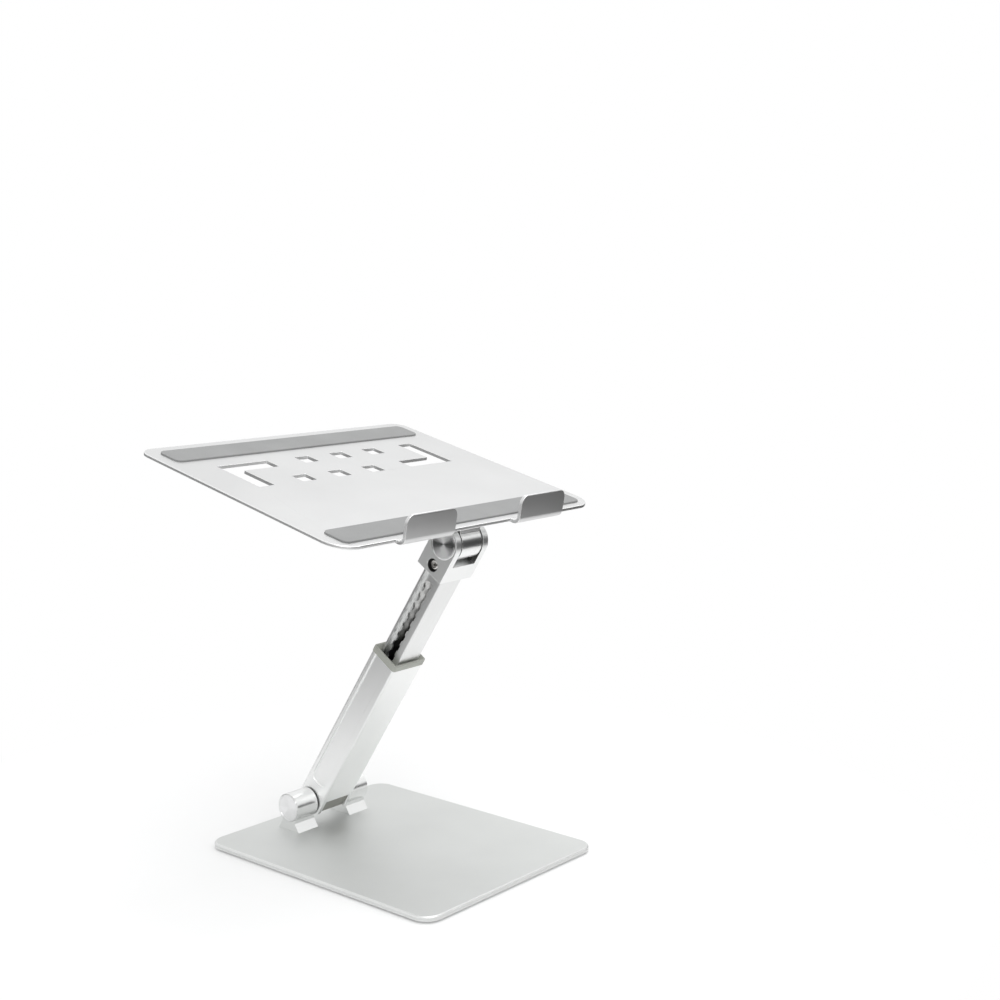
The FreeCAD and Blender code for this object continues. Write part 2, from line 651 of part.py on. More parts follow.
def make_head_screws():
    screws = []
    for side, word in ((-1, "left"), (1, "right")):
        parts = [rod(f"head_screw_top_{word}", "X", "head_screw_hole - 0.6",
                     *limits(side, "screw_floor", "screw_floor + 2.6"), SCREW),
                 rod(f"head_screw_shank_{word}", "X", 2.1, *limits(side, "7", "screw_floor"), SCREW)]
        body = fuse(f"head_screw_body_{word}", parts)
        cross = [box(f"head_screw_cross_{word}_{i}", limits(side, "screw_floor + 1.3", "screw_floor + 3"),
                     (f"-{a}", f"{a}"),
                     (f"head_screw - {b}", f"head_screw + {b}"))
                 for i, (a, b) in enumerate(((2.2, 0.45), (0.45, 2.2)))]
        screws.append(cut(f"head_screw_{word}", body, cross))
    finish("head_screws", fuse("head_screws", screws), "column")


def make_head_axle():
    """Steel axle with bevelled ends, held by the head's cheeks."""
    finish("head_axle", bevelled("head_axle", "cap_seat", PIVOT), "column")


def make_head_washers():
    washers = [ring(f"head_washer_{side + 1}",
                    limits(side, "barrel_half + 0.05", "cheek_inner"),
                    "barrel_radius - 1", "axle_radius", PIVOT) for side in (-1, 1)]
    finish("head_friction_washers", fuse("head_friction_washers", washers), "column")


# ---------------------------------------------------------------- tray
TRAY_FRONT = "-tray_ahead"


def make_tray_bracket():
    """Hinge barrel with a web up to a flange under the tray."""
    x = ("-barrel_half", "barrel_half")
    under = "tray_rise - tray_thick"
    barrel = rod("bracket_barrel", "X", "barrel_radius", *x, ORIGIN)
    web = box("bracket_web", x, ("-8", "8"), ("0", f"{under} - flange_thick + 0.1"))
    flange = soften("bracket_flange_round",
                    box("bracket_flange", ("-flange_half", "flange_half"),
                        (f"{TRAY_FRONT} + 5", "40"), (f"{under} - flange_thick", under)),
                    5.0, along("Z"))
    bore = rod("bracket_bore", "X", "axle_radius + running_gap", "-20", "20", ORIGIN)
    tools = [bore] + [rod(f"bracket_tap_{i}", "Z", 1.8, "10", "20", spot)
                      for i, spot in enumerate(tray_screw_spots())]
    solid = fuse("bracket_solid", [barrel, web, flange])
    finish("tray_bracket", cut("tray_bracket", solid, tools), "tray")


def tray_screw_spots():
    """Middles of the four screws under the front pad."""
    return [(x, y) for x in ("-24", "24") for y in ("-0.5", "11.5")]


def tray_screw(i, spot, gap):
    """Countersunk screw from the tray's top face into the bracket."""
    head = cone(f"tray_screw_head_{i}", "Z", f"1.7 + {gap}", f"3.4 + {gap}",
                "tray_rise - pad_sunk - 1.7", "tray_rise - pad_sunk", spot)
    shank = rod(f"tray_screw_shank_{i}", "Z", f"1.7 + {gap}",
                "tray_rise - tray_thick - flange_thick", "tray_rise - pad_sunk - 1.7", spot)
    return [head, shank]


def make_tray_screws():
    screws = []
    for i, spot in enumerate(tray_screw_spots()):
        body = fuse(f"tray_screw_body_{i}", tray_screw(i, spot, 0.0))
        key = rod(f"tray_screw_key_{i}", "Z", 1.1, "tray_rise - pad_sunk - 1",
                  "tray_rise", spot)
        screws.append(cut(f"tray_screw_{i}", body, [key]))
    finish("tray_screws", fuse("tray_screws", screws), "tray")


def pad_limits(start, gap):
    """X and Y limits of a tray pad whose front edge is start behind the tray's."""
    x = (f"-pad_long / 2 + {gap}", f"pad_long / 2 - {gap}")
    y = (f"{TRAY_FRONT} + {start} + {gap}", f"{TRAY_FRONT} + {start} + pad_wide - {gap}")
    return x, y


def make_tray():
    """Bent sheet: rounded slab with lips, a pattern of cut-outs and two pad recesses."""
    under = "tray_rise - tray_thick"
    x = ("-tray_width / 2", "tray_width / 2")
    y = (TRAY_FRONT, f"{TRAY_FRONT} + tray_depth")
    slab = DOC.addObject("PartDesign::Body", "tray_slab")
    sketch = rectangle(slab, "tray_outline", x, y)
    last = pad(slab, "tray_pad", sketch, "tray_thick", under)
    front = lambda edge: along("Z")(edge) and edge.BoundBox.YMax < 0
    rear = lambda edge: along("Z")(edge) and edge.BoundBox.YMin > 0 and edge.BoundBox.XLength < 1
    last = dress(slab, "Fillet", "tray_front_corners", last, front, "Radius", "tray_front_round")
    last = dress(slab, "Fillet", "tray_rear_corners", last,
                 lambda e: rear(e) and e.BoundBox.YMin > 100, "Radius", "tray_rear_round")
    flat = lambda e: e.BoundBox.ZLength < 0.001
    dress(slab, "Chamfer", "tray_edge", last, flat, "Size", "0.4")
    body = fuse("tray_with_lips", [slab] + [make_lip(side) for side in (-1, 1)])
    tools = cut_outs()
    for word, start in (("front", "pad_front"), ("rear", "pad_rear")):
        px, py = pad_limits(start, 0.0)
        tools.append(plate(f"pad_recess_{word}", px, py,
                           ("tray_rise - pad_sunk", "tray_rise + 1"), 5.0))
    for i, spot in enumerate(tray_screw_spots()):
        tools += tray_screw(f"room_{i}", spot, 0.1)
    finish("tray_plate", cut("tray_plate", body, tools), "tray")


def make_lip(side):
    """Hook: a strip that dips from the front edge and turns up, with round top corners."""
    name = "lip_left" if side < 0 else "lip_right"
    strip = DOC.addObject("Part::Feature", name + "_strip")
    strip.Shape = lip_strip(side)
    middle = f"{side} * lip_middle"
    x = (f"{middle} - lip_wide / 2", f"{middle} + lip_wide / 2")
    outline = box(name + "_outline", x, (f"{TRAY_FRONT} - 30", f"{TRAY_FRONT} + 3"),
                  ("0", "tray_rise + lip_high"))
    top = lambda e: along("Y")(e) and e.BoundBox.ZMin > size("tray_rise")
    rounded = soften(name + "_corners", outline, "lip_round", top)
    item = DOC.addObject("Part::Common", name)
    item.Base = strip
    item.Tool = rounded
    return item


def lip_strip(side):
    """Profile of the hook in the YZ plane, swept across a little more than its width."""
    thick, top = size("tray_thick"), size("tray_rise")
    front, reach, high = -size("tray_ahead"), size("lip_reach"), top + size("lip_high")
    bend, dip = 5.5, 0.4
    middle_y, middle_z = front - reach + bend, top - thick - dip + bend
    lean = 0.6

    def point(y, z):
        return FreeCAD.Vector(0, y, z)

    def arc(radius):
        mid = radius * 0.5 ** 0.5
        return Part.Arc(point(middle_y, middle_z - radius),
                        point(middle_y - mid, middle_z - mid),
                        point(middle_y - radius, middle_z)).toShape()

    outer, inner = bend, bend - thick
    tip = thick / 2
    tip_y = middle_y - bend + tip + lean
    cap = Part.Arc(point(tip_y - tip, high - tip), point(tip_y, high),
                   point(tip_y + tip, high - tip)).toShape()
    root = front + 1.5
    edges = [Part.makeLine(point(root, top - thick), point(middle_y, middle_z - outer)),
             arc(outer),
             Part.makeLine(point(middle_y - outer, middle_z), point(tip_y - tip, high - tip)),
             cap,
             Part.makeLine(point(tip_y + tip, high - tip), point(middle_y - inner, middle_z)),
             arc(inner),
             Part.makeLine(point(middle_y, middle_z - inner), point(root, top)),
             Part.makeLine(point(root, top), point(root, top - thick))]
    face = Part.Face(Part.Wire(Part.__sortEdges__(edges)))
    width = size("lip_wide")
    solid = face.extrude(FreeCAD.Vector(width + 2, 0, 0))
    solid.translate(FreeCAD.Vector(side * size("lip_middle") - width / 2 - 1, 0, 0))
    return solid


def cut_outs():
    """Six squares in two staggered rows between two angled slots."""
    z = ("tray_rise - tray_thick - 2", "tray_rise + 2")
    tools = []
    for row, start, count in ((147.5, -26.9, 3), (114.2, -59.5, 3)):
        for i in range(count):
            x0 = start + i * 34.2
            x = (str(x0), str(x0 + 13.2))
            y = (f"{TRAY_FRONT} + {row}", f"{TRAY_FRONT} + {row + 12.5}")
            tools.append(plate(f"square_{int(row)}_{i}", x, y, z, 0.8))
    for side in (-1, 1):
        tools += angled_slot(side, z)
    return tools


def angled_slot(side, z):
    """Angle-shaped slot: an arm along Y and an arm along X; the right one is turned half round."""
    middle_x, middle_y = -1.9, 137.4
    arms = (((-97.2, -83.6), (-22.6, 22.8)), ((-97.2, -51.6), (9.4, 22.8)))
    tools = []
    for i, (span_x, span_y) in enumerate(arms):
        xs = sorted(middle_x - side * v for v in span_x)
        ys = sorted(middle_y - side * v for v in span_y)
        y = tuple(f"{TRAY_FRONT} + {v}" for v in ys)
        tools.append(plate(f"slot_{side + 1}_{i}", tuple(str(v) for v in xs), y, z, 0.8))
    return tools


def make_tray_pads():
    for label, start in (("front_pad", "pad_front"), ("rear_pad", "pad_rear")):
        x, y = pad_limits(start, 0.1)
        low = "tray_rise - pad_sunk"
        item = plate(label, x, y, (low, "tray_rise + pad_proud"), 4.9)
        finish(label, item, "tray")


# ---------------------------------------------------------------- the whole stand
def build():
    make_base_plate()
    make_base_feet()
    make_base_screws()
    make_ear(-1, "hinge_ear_left")
    make_ear(1, "hinge_ear_right")
    make_lower_axle()
    make_lower_friction_set()
    for side, word in ((-1, "left"), (1, "right")):
        x = limits(side, "ear_outer - cap_thick", "ear_outer + 0.3")
        make_cap(f"lower_cap_{word}", x, "ear_radius - 0.6", AXIS, side, "base")
    make_outer_column()
    make_knuckle()
    make_knuckle_screws()
    make_notch_insert()
    make_collar()
    make_button()
    make_lock_pin()
    make_button_spring()
    make_inner_column()
    make_slide_shoe()
    make_head()
    make_head_screws()
    make_head_axle()
    make_head_washers()
    for side, word in ((-1, "left"), (1, "right")):
        x = limits(side, "cap_seat", "head_half + 0.3")
        make_cap(f"head_cap_{word}", x, "head_cap", PIVOT, side, "column")
    make_tray_bracket()
    make_tray()
    make_tray_screws()
    make_tray_pads()


def export():
    """Check every object and write one STEP file for each sub-part."""
    DOC.recompute()
    for item in DOC.Objects:
        if "Invalid" in item.State or "Error" in item.State:
            raise RuntimeError(f"{item.Name} failed: {item.State}")
    os.makedirs("parts", exist_ok=True)
    for node in NODES:
        shape = node.Shape
        if shape.isNull() or not shape.isValid():
            raise RuntimeError(f"{node.Label} has no valid shape")
        shape.exportStep(f"parts/{node.Label}.step")
        print(node.Label, len(shape.Solids), round(shape.Volume, 1))


build()
export()
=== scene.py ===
"""Looks of the laptop stand: bevelled metal, silicone pads and a pale studio.

Everything is in metres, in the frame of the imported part: X to the user's right, Y away
from the user, Z up, the origin on the desk under the middle of the base plate.
"""
import json
import math

import bmesh
import bpy
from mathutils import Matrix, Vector

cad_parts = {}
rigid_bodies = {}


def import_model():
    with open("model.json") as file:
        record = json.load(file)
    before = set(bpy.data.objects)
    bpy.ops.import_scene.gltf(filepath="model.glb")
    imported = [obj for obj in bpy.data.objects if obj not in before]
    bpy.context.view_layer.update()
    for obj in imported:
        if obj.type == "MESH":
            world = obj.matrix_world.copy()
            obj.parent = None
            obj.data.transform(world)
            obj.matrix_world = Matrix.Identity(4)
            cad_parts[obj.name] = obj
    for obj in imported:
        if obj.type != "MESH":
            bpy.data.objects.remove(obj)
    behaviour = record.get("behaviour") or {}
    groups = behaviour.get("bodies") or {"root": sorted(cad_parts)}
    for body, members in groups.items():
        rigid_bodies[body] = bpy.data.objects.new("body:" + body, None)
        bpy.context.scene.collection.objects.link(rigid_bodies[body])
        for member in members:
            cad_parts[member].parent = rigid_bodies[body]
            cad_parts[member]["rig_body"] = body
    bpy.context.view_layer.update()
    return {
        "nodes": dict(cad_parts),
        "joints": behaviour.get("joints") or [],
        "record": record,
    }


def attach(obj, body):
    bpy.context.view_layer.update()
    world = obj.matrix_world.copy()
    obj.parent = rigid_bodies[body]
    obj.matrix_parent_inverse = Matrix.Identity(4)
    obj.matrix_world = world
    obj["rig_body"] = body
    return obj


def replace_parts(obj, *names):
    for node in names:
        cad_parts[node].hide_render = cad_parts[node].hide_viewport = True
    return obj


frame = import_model()
JOINTS = {j["name"]: j for j in frame["joints"]}
LOWER_AXIS = Vector(JOINTS["column_fold"]["pos_m"])
UPPER_AXIS = Vector(JOINTS["tray_tilt"]["pos_m"])
COLUMN = Vector(JOINTS["column_slide"]["axis"])
MM = 0.001


# ---------------------------------------------------------------- material helpers
class Nodes:
    """A material's node tree, with short calls that add and link nodes."""

    def __init__(self, name):
        self.material = bpy.data.materials.new(name)
        self.material.use_nodes = True
        self.tree = self.material.node_tree
        self.shader = self.tree.nodes["Principled BSDF"]
        self.place = self.add("ShaderNodeTexCoord").outputs["Object"]

    def add(self, kind, inputs=None, **fields):
        node = self.tree.nodes.new(kind)
        for field, value in fields.items():
            setattr(node, field, value)
        for key, value in (inputs or {}).items():
            self.feed(node.inputs[key], value)
        return node

    def feed(self, socket, value):
        if isinstance(value, bpy.types.NodeSocket):
            self.tree.links.new(value, socket)
        else:
            socket.default_value = value

    def set(self, **values):
        for key, value in values.items():
            self.feed(self.shader.inputs[key.replace("_", " ")], value)

    def math(self, operation, a, b=0.0, c=0.0):
        node = self.add("ShaderNodeMath", operation=operation)
        for socket, value in zip(node.inputs, (a, b, c)):
            self.feed(socket, value)
        return node.outputs[0]

    def noise(self, scale, detail=2.0, place=None, roughness=0.5):
        node = self.add("ShaderNodeTexNoise", {"Scale": scale, "Detail": detail,
                                               "Roughness": roughness,
                                               "Vector": place or self.place})
        return node.outputs["Fac"]

    def span(self, value, low, high, start=0.0, end=1.0):
        node = self.add("ShaderNodeMapRange", {"Value": value, "From Min": start,
                                               "From Max": end, "To Min": low, "To Max": high})
        return node.outputs["Result"]

    def blend(self, factor, a, b):
        node = self.add("ShaderNodeMix", data_type="RGBA")
        self.feed(node.inputs["Factor"], factor)
        self.feed(node.inputs["A"], a)
        self.feed(node.inputs["B"], b)
        return node.outputs["Result"]

    def bump(self, height, strength, distance, normal=None):
        node = self.add("ShaderNodeBump", {"Height": height, "Strength": strength,
                                           "Distance": distance})
        if normal is not None:
            self.feed(node.inputs["Normal"], normal)
        return node.outputs["Normal"]

    def stretched(self, along, factor):
        """Coordinates squeezed along one direction, so that a noise draws out into lines."""
        turn = along.to_track_quat("Z", "X").inverted().to_euler()
        turned = self.add("ShaderNodeMapping", {"Vector": self.place, "Rotation": turn})
        squeezed = self.add("ShaderNodeMapping", {"Vector": turned.outputs[0],
                                                  "Scale": (1.0, 1.0, factor)})
        return squeezed.outputs[0]


def shade(colour, factor):
    """The colour times a factor, with full alpha."""
    return tuple(min(1.0, c * factor) for c in colour[:3]) + (1.0,)


def blasted(name, colour, roughness=0.42, grain=2600.0, along=None):
    """Bead-blasted, anodised aluminium; drawn lines follow along where it is given."""
    n = Nodes(name)
    cloud = n.noise(14.0, 3.0)
    speck = n.noise(grain, 2.0)
    tone = n.blend(n.span(cloud, 0.0, 1.0, 0.3, 0.7),
                   shade(colour, 0.965), shade(colour, 1.02))
    tone = n.blend(n.span(speck, 0.0, 0.3, 0.35, 0.75), tone, shade(colour, 0.9))
    rough = n.span(n.noise(45.0, 2.0), roughness * 0.95, roughness * 1.06)
    normal = n.bump(speck, 0.10, 0.00004)
    if along is not None:
        lines = n.noise(1500.0, 2.0, n.stretched(along, 0.012))
        tone = n.blend(n.span(lines, 0.0, 0.3, 0.35, 0.7), tone, shade(colour, 0.9))
        normal = n.bump(lines, 0.08, 0.00004, normal)
    n.set(Base_Color=tone, Metallic=1.0, Roughness=rough, Normal=normal)
    return n.material


def highlight_edge(name, colour, roughness=0.22):
    """Brighter, smoother metal on the rounded edges: a painted edge highlight on top of the light
    that the rounding catches, with faint fine marks.
    """
    n = Nodes(name)
    marks = n.noise(5200.0, 1.0)
    tone = n.blend(n.span(marks, 0, 1, 0.3, 0.7), shade(colour, 0.95), shade(colour, 1.03))
    n.set(Base_Color=tone, Metallic=1.0, Normal=n.bump(marks, 0.05, 0.00002),
          Roughness=n.span(n.noise(300.0), roughness - 0.04, roughness + 0.05))
    return n.material


def turned(name, colour, axis, roughness=0.2, pitch=0.00022, slope=0.13):
    """Faced on a lathe: fine rings about an axis along X, and the sectors that they cast."""
    n = Nodes(name)
    parts = n.add("ShaderNodeSeparateXYZ", {"Vector": n.place}).outputs
    y = n.math("SUBTRACT", parts["Y"], axis.y)
    z = n.math("SUBTRACT", parts["Z"], axis.z)
    squares = n.math("ADD", n.math("MULTIPLY", y, y), n.math("MULTIPLY", z, z))
    radius = n.math("SQRT", squares)
    wobble = n.math("MULTIPLY", n.noise(800.0, 2.0), pitch * 0.9)
    turns = n.math("MULTIPLY", n.math("ADD", radius, wobble), math.tau / pitch)
    rings = n.math("SINE", turns)
    tone = n.blend(n.span(rings, 0.0, 1.0, -1.0, 1.0),
                   shade(colour, 0.93), shade(colour, 1.03))
    lean = n.math("DIVIDE", n.math("MULTIPLY", n.math("COSINE", turns), slope), radius)
    tilt = n.add("ShaderNodeCombineXYZ", {"Y": n.math("MULTIPLY", y, lean),
                                          "Z": n.math("MULTIPLY", z, lean)}).outputs[0]
    facing = n.add("ShaderNodeNewGeometry").outputs["Normal"]
    leaning = n.add("ShaderNodeVectorMath", {0: facing, 1: tilt}, operation="ADD")
    normal = n.add("ShaderNodeVectorMath", {0: leaning.outputs[0]}, operation="NORMALIZE")
    tangent = n.add("ShaderNodeTangent", direction_type="RADIAL", axis="X").outputs[0]
    n.set(Base_Color=tone, Metallic=1.0, Normal=normal.outputs[0],
          Roughness=n.span(rings, roughness - 0.02, roughness + 0.02, -1, 1))
    n.shader.inputs["Anisotropic"].default_value = 1.0
    n.shader.inputs["Anisotropic Rotation"].default_value = 0.25
    n.feed(n.shader.inputs["Tangent"], tangent)
    return n.material


def moulded(name, colour, roughness=0.5, grain=1800.0):
    """Satin moulded plastic with a fine spark texture."""
    n = Nodes(name)
    spark = n.noise(grain, 2.0)
    tone = n.blend(n.span(n.noise(60.0, 3.0), 0, 1, 0.3, 0.7),
                   shade(colour, 0.94), shade(colour, 1.05))
    n.set(Base_Color=tone, Roughness=n.span(spark, roughness - 0.07, roughness + 0.08),
          Normal=n.bump(spark, 0.16, 0.00005))
    n.shader.inputs["Specular IOR Level"].default_value = 0.45
    return n.material


def silicone(name, colour):
    """Soft silicone sheet: matt, with a fine leathery skin and a little dust."""
    n = Nodes(name)
    skin = n.add("ShaderNodeTexVoronoi", {"Scale": 1500.0, "Vector": n.place},
                 feature="DISTANCE_TO_EDGE")
    cells = n.span(skin.outputs["Distance"], 0.0, 1.0, 0.0, 0.25)
    dust = n.span(n.noise(5200.0, 1.0), 0.0, 1.0, 0.72, 0.82)
    tone = n.blend(n.span(n.noise(25.0, 4.0), 0, 1, 0.3, 0.7),
                   shade(colour, 0.93), shade(colour, 1.06))
    tone = n.blend(n.span(cells, 0.25, 0.0), tone, shade(colour, 0.8))
    tone = n.blend(n.math("MULTIPLY", dust, 0.25), tone, shade(colour, 1.4))
    rough = n.span(n.noise(90.0, 3.0), 0.62, 0.8)
    n.set(Base_Color=tone, Roughness=rough, Normal=n.bump(cells, 0.22, 0.00006))
    n.shader.inputs["Specular IOR Level"].default_value = 0.3
    n.shader.inputs["Sheen Weight"].default_value = 0.06
    n.shader.inputs["Sheen Roughness"].default_value = 0.5
    return n.material


def steel(name, colour, roughness=0.3):
    """Plated or ground steel with faint clouding."""
    n = Nodes(name)
    cloud = n.noise(900.0, 3.0)
    tone = n.blend(n.span(cloud, 0, 1, 0.3, 0.7), shade(colour, 0.85), shade(colour, 1.06))
    n.set(Base_Color=tone, Metallic=1.0,
          Roughness=n.span(cloud, roughness - 0.05, roughness + 0.1),
          Normal=n.bump(n.noise(2400.0), 0.06, 0.00003))
    return n.material


def shaded_inside(name, lit_tone, dark, high, low):
    """Inside of the inner column, with painted shade: the lit tone at high, turning to the dark
    tone from low down.
    """
    n = Nodes(name)
    off = n.add("ShaderNodeVectorMath", {0: n.place, 1: tuple(UPPER_AXIS)}, operation="SUBTRACT")
    along = n.add("ShaderNodeVectorMath", {0: off.outputs[0], 1: tuple(COLUMN)},
                  operation="DOT_PRODUCT").outputs["Value"]
    ragged_height = n.math("ADD", along, n.math("MULTIPLY", n.noise(220.0, 3.0), 0.012))
    tone = n.blend(n.span(ragged_height, 0.0, 1.0, low, high), dark, lit_tone)
    n.set(Base_Color=tone, Metallic=1.0, Roughness=n.span(n.noise(120.0, 3.0), 0.4, 0.52),
          Normal=n.bump(n.noise(2600.0), 0.10, 0.00004))
    return n.material


# ---------------------------------------------------------------- the finishes
SILVER = (0.89, 0.895, 0.89)
COLUMN_SILVER = (0.92, 0.925, 0.92)
BASE_SILVER = (0.715, 0.725, 0.715)
TRAY_SILVER = (0.71, 0.71, 0.71)
EAR_SILVER = (0.86, 0.865, 0.86)
LOOK = {
    "anodised_base": blasted("blasted_base", BASE_SILVER, 0.52, 2300.0),
    "anodised_column": blasted("blasted_column", COLUMN_SILVER, 0.40),
    "anodised_knuckle": blasted("blasted_knuckle", SILVER, 0.30),
    "anodised_inner": blasted("drawn_inner", shade(SILVER, 0.91), 0.34, along=COLUMN),
    "anodised_head": blasted("blasted_head", SILVER, 0.38),
    "anodised_bracket": blasted("blasted_bracket", SILVER, 0.27),
    "anodised_tray": blasted("blasted_tray", TRAY_SILVER, 0.42),
    "turned_caps": turned("turned_lower", (0.86, 0.86, 0.865), LOWER_AXIS),
    "button_metal": steel("button_metal", (0.55, 0.56, 0.57), 0.2),
    "axle_steel": steel("axle_steel", (0.5, 0.5, 0.52)),
    "screw_steel": steel("screw_steel", (0.45, 0.45, 0.46), 0.34),
    "spring_steel": steel("spring_steel", (0.3, 0.3, 0.32), 0.35),
    "black_screws": steel("black_screws", (0.66, 0.65, 0.635), 0.14),
    "dark_washers": moulded("dark_washers", (0.065, 0.065, 0.065), 0.45),
    "silicone_feet": silicone("silicone_feet", (0.12, 0.12, 0.124)),
    "silicone_pads": silicone("silicone_pads", (0.285, 0.287, 0.287)),
    "collar_plastic": moulded("collar_plastic", (0.43, 0.44, 0.40), 0.42),
    "grey_plastic": moulded("grey_plastic", (0.30, 0.30, 0.275), 0.45),
    "shoe_plastic": moulded("shoe_plastic", (0.08, 0.08, 0.08), 0.5),
}
TURNED_UPPER = turned("turned_upper", (0.95, 0.95, 0.955), UPPER_AXIS)
EAR = blasted("blasted_ear", EAR_SILVER, 0.26)
# Painted shade: a dark metal for the walls inside the head fork's window, where shade falls.
SHADED = blasted("painted_shade_gap", (0.17, 0.17, 0.165), 0.5)
# Painted shade inside the inner column's channel: darker towards the bottom.
SHADE_INSIDE = shaded_inside("painted_shade_inside", (0.86, 0.86, 0.85, 1.0), (0.12, 0.12, 0.115, 1.0),
              -54.0 * MM, -88.0 * MM)
# Painted highlight: brighter metal on the rounded edges of the base plate and the tray.
EDGE_HIGHLIGHT = highlight_edge("painted_edge_highlight", (0.9, 0.9, 0.9))
# Near-black sleeve round each head screw: painted shade of the deep counterbore.
SLEEVE_SHADE = moulded("painted_shade_sleeve", (0.012, 0.012, 0.012), 0.4)
SLOTS = {s["node"]: s["material_slot"] for s in frame["record"]["subparts"]}


def material_of(node):
    """Finish of a CAD node: its slot's, but for the head's caps and the ears."""
    if node.startswith("head_cap"):
        return TURNED_UPPER
    if node.startswith("hinge_ear"):
        return EAR
    return LOOK[SLOTS[node]]


# ---------------------------------------------------------------- refined pieces
def refine(node, width, segments, edge, sharp=30.0):
    """A copy of a CAD node with merged flats and rounded edges, in place of the node."""
    source = frame["nodes"][node]
    mesh = bmesh.new()
    mesh.from_mesh(source.data)
    bmesh.ops.remove_doubles(mesh, verts=mesh.verts, dist=2e-6)
    bmesh.ops.dissolve_limit(mesh, angle_limit=math.radians(0.4), verts=mesh.verts,
                             edges=mesh.edges)
    for face in mesh.faces:
        face.smooth = True
    for side in mesh.edges:
        side.smooth = not side.is_manifold or side.calc_face_angle(0.0) < math.radians(sharp)
    data = bpy.data.meshes.new(node + "_fine")
    mesh.to_mesh(data)
    mesh.free()
    data.materials.append(material_of(node))
    piece = bpy.data.objects.new(node + "_fine", data)
    bpy.context.scene.collection.objects.link(piece)
    bevel = piece.modifiers.new("rounding", "BEVEL")
    bevel.width = width
    bevel.segments = segments
    bevel.limit_method = "ANGLE"
    bevel.angle_limit = math.radians(sharp)
    bevel.use_clamp_overlap = False
    bevel.harden_normals = True
    bevel.miter_outer = "MITER_ARC"
    if edge is not None:
        data.materials.append(edge)
        bevel.material = 1
    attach(piece, source["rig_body"])
    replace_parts(piece, node)
    return piece


for node, item in frame["nodes"].items():
    item.data.materials.clear()
    item.data.materials.append(material_of(node))

# width of the rounding, its segments and the brighter metal of the rounding (a painted edge
# highlight), where it has its own
REFINED = {
    "base_plate": (0.2 * MM, 2, EDGE_HIGHLIGHT), "hinge_ear_left": (0.1 * MM, 2, None),
    "hinge_ear_right": (0.1 * MM, 2, None), "notch_insert": (0.15 * MM, 2, None),
    "inner_column": (0.12 * MM, 2, None), "head_fork": (0.25 * MM, 2, None),
    "tray_bracket": (0.25 * MM, 2, None), "tray_plate": (0.25 * MM, 2, EDGE_HIGHLIGHT),
    "front_pad": (0.5 * MM, 3, None), "rear_pad": (0.5 * MM, 3, None),
    "base_feet": (0.4 * MM, 2, None),
}
for node, (width, segments, edge) in REFINED.items():
    refine(node, width, segments, edge)


def paint_shade_inside(node, material, half, depth, low, high):
    """Painted shade as another material on the walls of a hollow, with limits measured from the
    upper axis.
    """
    data = bpy.data.objects[node + "_fine"].data
    data.materials.append(material)
    across = COLUMN.cross(Vector((1.0, 0.0, 0.0)))
    for face in data.polygons:
        off = face.center - UPPER_AXIS
        if (abs(off.x) < half and abs(off.dot(across)) < depth
                and low < off.dot(COLUMN) < high and abs(face.normal.dot(COLUMN)) < 0.9):
            face.material_index = len(data.materials) - 1


# Painted shade on the walls inside the head fork's window and, darker towards the bottom, inside
# the inner column's channel.
paint_shade_inside("head_fork", SHADED, 11.3 * MM, 12.2 * MM, -13.5 * MM, 0.0)
paint_shade_inside("inner_column", SHADE_INSIDE, 5.8 * MM, 7.8 * MM, -200.0 * MM, 0.0)


def lathe(name, profile, at, outward, material, segments=128):
    """Solid of revolution about an axis along X; profile lists (outward distance, radius)."""
    mesh = bmesh.new()
    rings = []
    for out, radius in profile:
        spot = Vector((outward * out, at.y, at.z))
        if radius == 0.0:
            rings.append([mesh.verts.new(spot)])
            continue
        turns = [math.tau * i / segments for i in range(segments)]
        reach = [radius(a) if callable(radius) else radius for a in turns]
        rings.append([mesh.verts.new(spot + r * Vector((0.0, math.cos(a), math.sin(a))))
                      for a, r in zip(turns, reach)])
    for one, two in zip(rings, rings[1:]):
        for i in range(segments):
            j = (i + 1) % segments
            corners = [one[i % len(one)], one[j % len(one)], two[j % len(two)], two[i % len(two)]]
            mesh.faces.new(list(dict.fromkeys(corners)))
    bmesh.ops.recalc_face_normals(mesh, faces=mesh.faces)
    for face in mesh.faces:
        face.smooth = True
    for side in mesh.edges:
        side.smooth = side.calc_face_angle(0.0) < math.radians(30.0)
    data = bpy.data.meshes.new(name)
    mesh.to_mesh(data)
    mesh.free()
    data.materials.append(material)
    piece = bpy.data.objects.new(name, data)
    bpy.context.scene.collection.objects.link(piece)
    return piece


def spun_cap(node, at, outward):
    """Lathe-turned cap: bevelled rim, a groove inside it and a dish that deepens to the middle.
    """
    inner, outer = cap_limits(node)
    radius = cap_radius(node)
    profile = [(inner, 0.0), (inner, radius), (outer - 0.35 * MM, radius),
               (outer - 0.1 * MM, radius - 0.1 * MM), (outer, radius - 0.35 * MM),
               (outer, radius - 0.9 * MM), (outer - 0.22 * MM, radius - 1.05 * MM),
               (outer - 0.22 * MM, radius - 1.2 * MM), (outer - 0.12 * MM, radius - 1.35 * MM),
               (outer - 0.3 * MM, radius * 0.5), (outer - 0.42 * MM, 0.0)]
    piece = lathe(node + "_spun", profile, at, outward, material_of(node))
    source = frame["nodes"][node]
    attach(piece, source["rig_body"])
    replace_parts(piece, node)


def cap_limits(node):
    """Distances of the cap's inner and outer faces from the middle plane."""
    places = sorted(abs((frame["nodes"][node].matrix_world @ v.co).x)
                    for v in frame["nodes"][node].data.vertices)
    return places[0], places[-1]


def cap_radius(node):
    """Largest distance of the cap's points from its axis."""
    at = UPPER_AXIS if node.startswith("head") else LOWER_AXIS
    item = frame["nodes"][node]
    spots = [item.matrix_world @ v.co for v in item.data.vertices]
    return max(math.hypot(spot.y - at.y, spot.z - at.z) for spot in spots)


